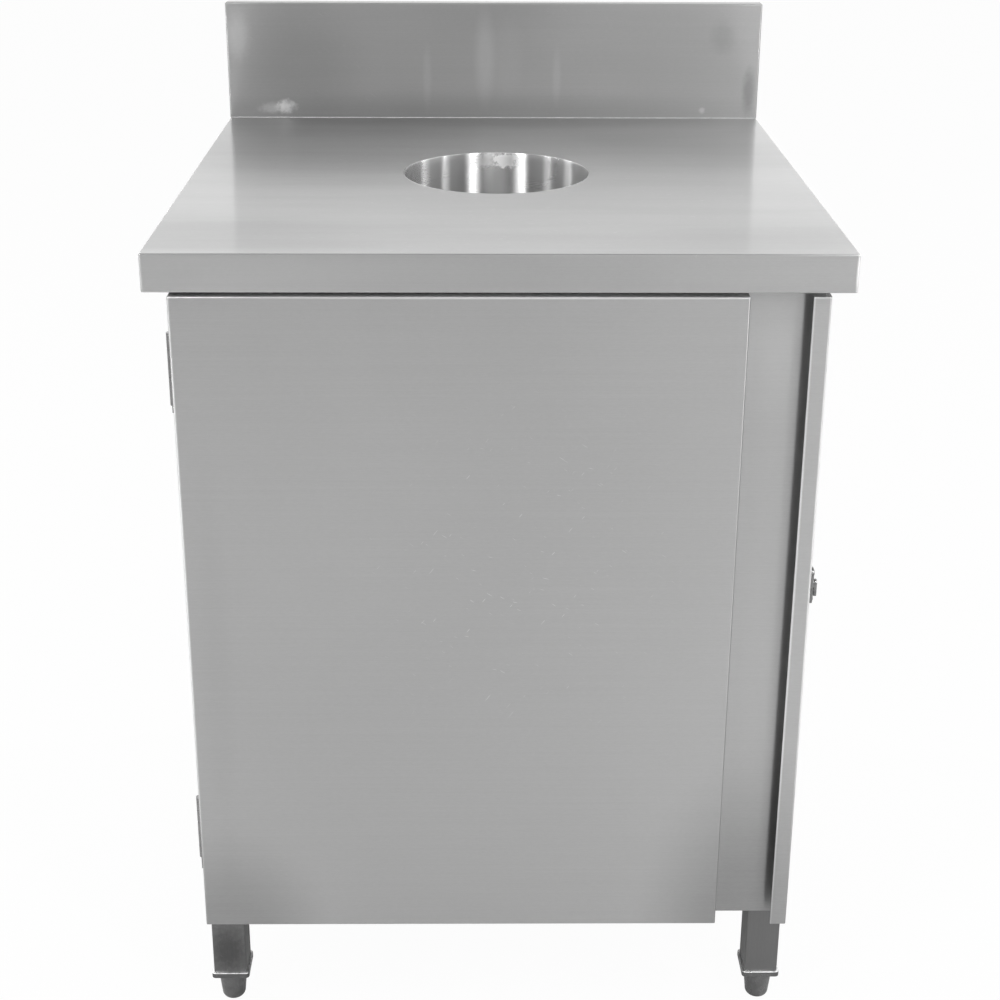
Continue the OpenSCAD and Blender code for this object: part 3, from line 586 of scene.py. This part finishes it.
def finish_nodes():
    """Eased copies of the nodes that show, and the right material on every other node."""
    for node, (material, width) in EASED.items():
        eased(node, material, width * MM)
    for node, material in PLAIN.items():
        for slot in frame["nodes"][node].material_slots:
            slot.material = material


def lofted(name, rings, closed):
    """A smooth solid through rings of points.

    If closed, the last ring joins the first. Otherwise both ends are capped.
    """
    count = len(rings[0])
    faces = []
    for i in range(len(rings) if closed else len(rings) - 1):
        j = (i + 1) % len(rings)
        for k in range(count):
            m = (k + 1) % count
            faces.append((i * count + k, i * count + m, j * count + m, j * count + k))
    if not closed:
        last = (len(rings) - 1) * count
        faces.append(tuple(range(count)))
        faces.append(tuple(last + k for k in reversed(range(count))))
    mesh = bpy.data.meshes.new(name)
    mesh.from_pydata([point for ring in rings for point in ring], [], faces)
    mesh.shade_smooth()
    return mesh


# The faint flats of the chute's rolled wall: how deep in millimetres, how many round the tube, and where.
CHUTE_FLATS = ((0.05, 22, 0.4), (0.035, 13, 1.9), (0.025, 7, 0.0))
# Points round the chute, and rings up its wall and round its rim.
CHUTE_POINTS, CHUTE_RINGS, RIM_RINGS = 288, 14, 4
# Roundness of the rim on the inside and on the outside.
RIM_INSIDE, RIM_OUTSIDE = 0.6 * MM, 0.1 * MM


def chute_radius(a):
    """The radius of the rolled wall at an angle. Its flats only go outwards from the bore."""
    flats = sum(deep * (1 + math.cos(flat_count * a + start)) for deep, flat_count, start in CHUTE_FLATS)
    return CHUTE_INNER + flats * MM


def chute_ring(radius_at, height):
    """Points round the chute at a height. radius_at gives the radius at an angle."""
    angles = [2 * math.pi * i / CHUTE_POINTS for i in range(CHUTE_POINTS)]
    return [(CHUTE_MIDDLE.x + radius_at(a) * math.cos(a), CHUTE_MIDDLE.y + radius_at(a) * math.sin(a), height)
            for a in angles]


def chute():
    """The chute's tube. It was rolled from sheet, so its wall has faint upright flats. Its rim is rounded."""
    rim_foot = CHUTE_HI.z - RIM_INSIDE
    rings = []
    for i in range(CHUTE_RINGS + 1):
        rings.append(chute_ring(chute_radius, CHUTE_LO.z + (rim_foot - CHUTE_LO.z) * i / CHUTE_RINGS))
    for i in range(1, RIM_RINGS + 1):
        turn = math.radians(90 * i / RIM_RINGS)
        out, up = RIM_INSIDE * (1 - math.cos(turn)), RIM_INSIDE * math.sin(turn)
        rings.append(chute_ring(lambda a, out=out: chute_radius(a) + out, rim_foot + up))
    rings.append(chute_ring(lambda a: CHUTE_OUTER - RIM_OUTSIDE, CHUTE_HI.z))
    rings.append(chute_ring(lambda a: CHUTE_OUTER, CHUTE_HI.z - RIM_OUTSIDE))
    rings.append(chute_ring(lambda a: CHUTE_OUTER, CHUTE_LO.z))
    mesh = lofted("chute_tube", rings, closed=True)
    piece = add_object("chute_tube", mesh, CHUTE, "cabinet")
    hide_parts("chute_collar")


# The weld bead: its radius, the length of a step along it, and how far it keeps clear of the sheets it joins.
BEAD_RADIUS, BEAD_STEP, BEAD_CLEAR = 1.1 * MM, 0.9 * MM, 0.02 * MM
# How far it keeps from the upstand's ends, how far it reaches into the joint, and the points round it.
BEAD_END, BEAD_IN, BEAD_CORNERS = 1 * MM, 0.1 * MM, 6
# How uneven it is, as a share of its radius: left of BEAD_ROUGH_X, and over the rest.
BEAD_ROUGH_X, BEAD_ROUGH_LEFT, BEAD_ROUGH = -0.31, 0.45, 0.22
# Lumps and ripples of the bead: lumps per metre, radians per metre, and the ripples' share of the radius.
BEAD_LUMPS, BEAD_RIPPLES, BEAD_RIPPLE = 420, 2600, 0.12


def bead_ring(x):
    """The bead's outline at a place along it: a hollow quarter round, and a point inside the joint."""
    ragged = BEAD_ROUGH_LEFT if x < BEAD_ROUGH_X else BEAD_ROUGH
    lump = ragged * noise.noise(Vector((x * BEAD_LUMPS, 2.0, 0)))
    size = BEAD_RADIUS * (1 + lump + BEAD_RIPPLE * math.sin(x * BEAD_RIPPLES))
    ring = []
    for k in range(BEAD_CORNERS):
        a = math.radians(90 * k / (BEAD_CORNERS - 1))
        ring.append((x, UPSTAND_LO.y - size * (1 - math.sin(a)) - BEAD_CLEAR,
                     UPSTAND_LO.z + size * (1 - math.cos(a)) + BEAD_CLEAR))
    ring.append((x, UPSTAND_LO.y + BEAD_IN, UPSTAND_LO.z))
    return ring


def weld_bead():
    """The bead that joins the upstand to the worktop, with the uneven ripples of hand welding."""
    first, last = UPSTAND_LO.x + BEAD_END, UPSTAND_HI.x - BEAD_END
    steps = int((last - first) / BEAD_STEP)
    rings = [bead_ring(first + (last - first) * i / steps) for i in range(steps + 1)]
    mesh = lofted("weld_bead", rings, closed=False)
    add_object("weld_bead", mesh, WELD, "cabinet")


# Floor and light

WHITE = (1, 1, 1, 1)
# Half width of the floor, which reaches the horizon of every view, and its darkest and palest tone.
FLOOR_HALF, FLOOR_DARK, FLOOR_PALE = 80.0, 0.60, 0.62
# Share of the floor's look that is plain white to the camera. The rest is lit and shaded.
FLOOR_WHITE = 0.965

# A wide soft light in the sky: its place and half width in degrees, and its strength over the room's.
Glow = namedtuple("Glow", "azimuth elevation half_width power")
ROOM_LEVEL = 0.27
ROOM_GLOWS = [
    Glow(9, 6, 9, 1.38),
    Glow(0, 30, 20, 1.0),
    Glow(45, 15, 30, 0.6),
    Glow(-45, 15, 30, 0.6),
    Glow(90, 12, 35, 0.9),
    Glow(-90, 12, 35, 0.7),
    Glow(140, 25, 25, 1.5),
    Glow(-140, 25, 25, 1.5),
    Glow(180, 12, 30, 1.34),
    Glow(180, 45, 40, 0.70),
]

# A tall narrow softbox, which makes one of the bright bands in the chute: its azimuth, width and radiance.
Strip = namedtuple("Strip", "azimuth width radiance")
STRIPS = [
    Strip(-115, 0.12, 34),
    Strip(-75, 0.14, 17),
    Strip(-36, 0.28, 23),
    Strip(32, 0.28, 23),
    Strip(72, 0.14, 17),
    Strip(111, 0.12, 34),
]
STRIP_HEIGHT, STRIP_DISTANCE, STRIP_ELEVATION = 2.2, 3.2, 34.0


def white_to_camera(n, lit, white, share=1.0):
    """Plain white for a share of what the camera sees, and the lit shader for the rest and all other rays."""
    seen = n.add("ShaderNodeLightPath").outputs["Is Camera Ray"]
    return n.mixed(n.math("MULTIPLY", seen, share), lit, white).outputs[0]


def floor():
    """A white floor, large enough to reach the horizon of every view. It keeps the object's shadow."""
    corners = [(x * FLOOR_HALF, y * FLOOR_HALF, 0) for x, y in ((-1, -1), (1, -1), (1, 1), (-1, 1))]
    mesh = bpy.data.meshes.new("floor")
    mesh.from_pydata(corners, [], [(0, 1, 2, 3)])
    piece = bpy.data.objects.new("floor", mesh)
    bpy.context.scene.collection.objects.link(piece)
    material = bpy.data.materials.new("floor_white")
    n = Nodes(material)
    tone = n.spread(n.noise(n.here(), 0.6), FLOOR_DARK, FLOOR_PALE)
    lit = n.add("ShaderNodeBsdfPrincipled", {"Base Color": n.grey(tone), "Roughness": 0.9,
                                             "Specular IOR Level": 0.0})
    white = n.add("ShaderNodeEmission", {"Color": WHITE, "Strength": 1.0})
    n.add("ShaderNodeOutputMaterial", {"Surface": white_to_camera(n, lit, white, FLOOR_WHITE)})
    mesh.materials.append(material)


def sky_direction(azimuth, elevation):
    """A direction in the sky. Azimuth 0 is in front of the cabinet, and 90 is at its right."""
    a, e = math.radians(azimuth), math.radians(elevation)
    return Vector((math.sin(a) * math.cos(e), -math.cos(a) * math.cos(e), math.sin(e)))


def studio_world():
    """A pale room with wide soft lights. The camera itself sees plain white past the floor's edge."""
    world = bpy.data.worlds.new("studio")
    bpy.context.scene.world = world
    n = Nodes(world)
    direction = n.add("ShaderNodeTexCoord").outputs["Generated"]
    strength = ROOM_LEVEL
    for glow in ROOM_GLOWS:
        facing = n.add("ShaderNodeVectorMath", {0: direction, 1: sky_direction(glow.azimuth, glow.elevation)},
                       operation="DOT_PRODUCT").outputs["Value"]
        power = n.ramp(facing, math.cos(math.radians(glow.half_width)), 1.0, 0.0, glow.power)
        strength = n.math("ADD", strength, power)
    lit = n.add("ShaderNodeBackground", {"Color": WHITE, "Strength": strength})
    white = n.add("ShaderNodeBackground", {"Color": WHITE, "Strength": 1.0})
    n.add("ShaderNodeOutputWorld", {"Surface": white_to_camera(n, lit, white)})


def strip_lamps():
    """The softboxes, which stand round the chute's mouth and lean over towards it."""
    mouth = Vector((0, CHUTE_MIDDLE.y, TOP))
    for strip in STRIPS:
        side = "left" if strip.azimuth < 0 else "right"
        name = f"strip_{side}_{abs(strip.azimuth)}"
        data = bpy.data.lights.new(name, "AREA")
        data.shape = "RECTANGLE"
        data.size, data.size_y = strip.width, STRIP_HEIGHT
        data.energy = math.pi * strip.width * STRIP_HEIGHT * strip.radiance
        lamp = bpy.data.objects.new(name, data)
        bpy.context.scene.collection.objects.link(lamp)
        lamp.visible_camera = False
        towards = sky_direction(strip.azimuth, STRIP_ELEVATION)
        lamp.location = mouth + STRIP_DISTANCE * towards
        lamp.rotation_mode = "QUATERNION"
        lamp.rotation_quaternion = towards.to_track_quat("Z", "Y")


# Camera

# The camera was solved from the photograph's corner points. The picture is taken as 1000 by 1000 pixels.
PICTURE = 1000
FOCAL_PX = 1749.0
CENTRE_PX = (493.3, 414.7)
CAMERA_AT = Vector((-23.2, -1987.7, 1367.2)) * MM
PITCH, YAW, ROLL = 20.619, 0.600, 0.233
SENSOR_MM = 36


def camera():
    """The camera, at the photograph's viewing angle."""
    data = bpy.data.cameras.new("camera")
    data.sensor_width = SENSOR_MM
    data.lens = SENSOR_MM * FOCAL_PX / PICTURE
    data.shift_x = (PICTURE / 2 - CENTRE_PX[0]) / PICTURE
    data.shift_y = (CENTRE_PX[1] - PICTURE / 2) / PICTURE
    data.clip_end = 2.5 * FLOOR_HALF
    eye = bpy.data.objects.new("camera", data)
    bpy.context.scene.collection.objects.link(eye)
    turn = (Matrix.Rotation(math.radians(-YAW), 4, "Z") @ Matrix.Rotation(math.radians(90 - PITCH), 4, "X")
            @ Matrix.Rotation(math.radians(ROLL), 4, "Z"))
    eye.matrix_world = Matrix.Translation(CAMERA_AT) @ turn
    bpy.context.scene.camera = eye


camera()
finish_nodes()
chute()
weld_bead()
floor()
studio_world()
strip_lamps()
bpy.context.scene.view_settings.view_transform = "Standard"
